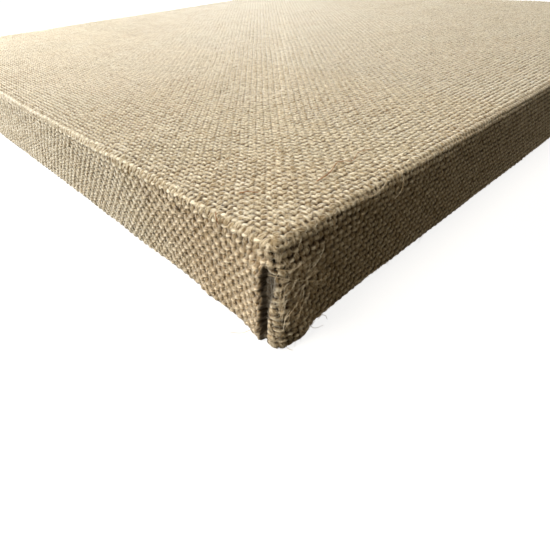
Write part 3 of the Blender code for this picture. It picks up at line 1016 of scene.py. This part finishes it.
def fibre_material(name, pale, dark):
    """Loose fibre, thread or bark: one colour with darker lengths."""
    n = Nodes(name)
    shade = n.maths("MULTIPLY_ADD", n.value("fibre_tone"), 0.22, n.noise(n.coordinates(), 260.0, 2.0))
    n.set(Base_Color=n.mix(n.span(shade, 0.35, 0.65), colour(*pale), colour(*dark)))
    n.set(Roughness=n.span(shade, 0.3, 0.7, 0.6, 0.75))
    n.set(Normal=n.bump(n.noise(n.coordinates(), 5000.0, 1.0), 0.00002, 0.3))
    n.set(Specular_IOR_Level=0.3)
    return n.material


def place_camera():
    """A wide lens close to the near corner, looking across the panel."""
    corner = Vector(canvas_low)
    level = math.cos(CAMERA_PITCH)
    forward = Vector((level * math.cos(CAMERA_YAW), level * math.sin(CAMERA_YAW), -math.sin(CAMERA_PITCH)))
    right = Vector((math.sin(CAMERA_YAW), -math.cos(CAMERA_YAW), 0))
    up = right.cross(forward)
    turned_right = math.cos(CAMERA_ROLL) * right + math.sin(CAMERA_ROLL) * up
    turned_up = math.cos(CAMERA_ROLL) * up - math.sin(CAMERA_ROLL) * right
    data = bpy.data.cameras.new("camera")
    data.lens = CAMERA_LENS
    data.sensor_width = 36
    data.clip_start = 0.01
    data.clip_end = 50
    camera = add_object("camera", data)
    axes = Matrix((turned_right, turned_up, -forward)).transposed().to_4x4()
    camera.matrix_world = Matrix.Translation(corner + CAMERA_FROM_CORNER) @ axes
    bpy.context.scene.camera = camera


def area_light(name, place, target, size, power, tint):
    """A square light at a place, turned to a target, in metres and watts."""
    data = bpy.data.lights.new(name, "AREA")
    data.shape = "SQUARE"
    data.size = size
    data.energy = power
    data.color = tint
    light = add_object(name, data)
    light.location = place
    light.rotation_mode = "QUATERNION"
    light.rotation_quaternion = (Vector(target) - Vector(place)).to_track_quat("-Z", "Y")


def light_studio():
    """A warm window at the upper left, a cooler one behind, and little light from the front.

    A small window lights the left side, and a dim light underneath shows the back of the frame.
    """
    area_light("window", (-1.15, -0.08, 1.05), (-0.15, -0.08, 0), 0.5, 19.5, (1.0, 0.94, 0.83))
    area_light("far_window", (0.95, 1.3, 0.5), (0.15, 0.1, 0), 0.8, 25, (0.92, 0.96, 1.0))
    area_light("side_window", (-0.7, 0.65, 0.45), (-0.25, 0.15, 0), 0.35, 11.0, (1.0, 0.97, 0.9))
    area_light("overhead", (1.0, -0.55, 0.7), (0.3, -0.25, 0), 0.5, 4.4, (1.0, 0.86, 0.66))
    area_light("underneath", (0, 0, -0.6), (0, 0, 0), 0.3, 1.5, (1.0, 0.97, 0.92))
    light_room()


def light_room():
    """A dim warm surround, in whose place the camera sees a plain pale backdrop."""
    world = bpy.data.worlds.new("studio")
    world.use_nodes = True
    tree = world.node_tree
    ambient = tree.nodes["Background"]
    ambient.inputs["Color"].default_value = (1.0, 0.78, 0.48, 1)
    ambient.inputs["Strength"].default_value = 0.08
    backdrop = tree.nodes.new("ShaderNodeBackground")
    seen = tree.nodes.new("ShaderNodeLightPath")
    either = tree.nodes.new("ShaderNodeMixShader")
    tree.links.new(seen.outputs["Is Camera Ray"], either.inputs["Fac"])
    tree.links.new(ambient.outputs[0], either.inputs[1])
    tree.links.new(backdrop.outputs[0], either.inputs[2])
    tree.links.new(either.outputs[0], tree.nodes["World Output"].inputs["Surface"])
    bpy.context.scene.world = world
    bpy.context.scene.view_settings.view_transform = "Standard"


def lay_floor():
    """A plain pale floor just under the folded corners."""
    mesh = bpy.data.meshes.new("floor")
    reach = 6.0
    corners = [(-reach, -reach), (reach, -reach), (reach, reach), (-reach, reach)]
    mesh.from_pydata([(x, y, FLOOR_LEVEL) for x, y in corners], [], [(0, 1, 2, 3)])
    floor = add_object("floor", mesh)
    n = Nodes("pale_floor")
    mottle = n.noise(n.coordinates(), 3.0, 2.0)
    base = n.mix(mottle, colour(0.24, 0.24, 0.24), colour(0.25, 0.25, 0.245))
    n.set(Base_Color=base, Roughness=0.9)
    n.set(Emission_Color=colour(1, 1, 1), Emission_Strength=0.84)
    # Seen from underneath the floor is clear, so that the back of the frame shows.
    behind = n.tree.nodes.new("ShaderNodeNewGeometry").outputs["Backfacing"]
    clear = n.tree.nodes.new("ShaderNodeBsdfTransparent")
    either = n.tree.nodes.new("ShaderNodeMixShader")
    n.put(either.inputs["Fac"], behind)
    n.put(either.inputs[1], n.shader.outputs[0])
    n.put(either.inputs[2], clear.outputs[0])
    n.put(n.tree.nodes["Material Output"].inputs["Surface"], either.outputs[0])
    floor.data.materials.append(n.material)
    floor.visible_diffuse = False
    floor.visible_glossy = False
    floor.visible_shadow = False


def dress_frame():
    """Timber and steel for the CAD parts that stay."""
    pine = ((0.72, 0.53, 0.32), (0.56, 0.36, 0.18), 0.9)
    beech = ((0.66, 0.46, 0.29), (0.52, 0.33, 0.18), 2.2)
    pine_x = wood_material("pine_along_x", "X", *pine)
    pine_y = wood_material("pine_along_y", "Y", *pine)
    beech_x = wood_material("beech_along_x", "X", *beech)
    beech_y = wood_material("beech_along_y", "Y", *beech)
    steel = steel_material()
    for name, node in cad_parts.items():
        kind, _, rest = name.partition("_")
        side = rest.split("_")[0]
        if kind == "bar":
            chosen = pine_x if side in ("front", "back") else pine_y
        elif kind == "key":
            chosen = beech_y if side in ("front", "back") else beech_x
        elif kind == "staple":
            chosen = steel
        else:
            continue
        node.data.materials.clear()
        node.data.materials.append(chosen)


place_camera()
light_studio()
lay_floor()
dress_frame()
cloth, roots, root_normals, runs = make_cloth()
cloth.data.materials.append(jute_material())
straw = fibre_material("loose_jute_fibre", (0.92, 0.85, 0.69), (0.55, 0.43, 0.26))
silver = fibre_material("bleached_jute_fibre", (0.93, 0.83, 0.64), (0.60, 0.46, 0.28))
bark = fibre_material("bark", (0.12, 0.07, 0.035), (0.035, 0.022, 0.012))
rust = fibre_material("rust_thread", (0.46, 0.24, 0.10), (0.30, 0.15, 0.06))
fuzz = loose_fibres("jute_fuzz", roots, root_normals, 18000, FUZZ_LENGTH, FUZZ_THICKNESS, 51, 0.35)
nap = lying_fibres("jute_nap", roots, root_normals, runs, 22000, 53)
wisps = loose_fibres("jute_wisps", roots, root_normals, 600, WISP_LENGTH, WISP_THICKNESS, 52, 0.2)
strays = hand_laid_fibres("stray_fibres", STRAY_FIBRES, 0.1 * MM)
threads = hand_laid_fibres("rust_threads", RUST_THREADS, 0.19 * MM)
tangle = hair_tangle("hair_tangle", 46, 54)
flecks = bark_flecks("bark_flecks", BARK_SPOTS, 260, roots, root_normals, 55)
fray = hem_fray("hem_fray", 720, 56)
dressed = (
    (fuzz, straw),
    (nap, straw),
    (wisps, straw),
    (strays, silver),
    (threads, rust),
    (tangle, silver),
    (flecks, bark),
    (fray, straw),
)
for piece, material in dressed:
    piece.data.materials.append(material)
    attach(piece, "frame")
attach(cloth, "frame")
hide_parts("canvas")
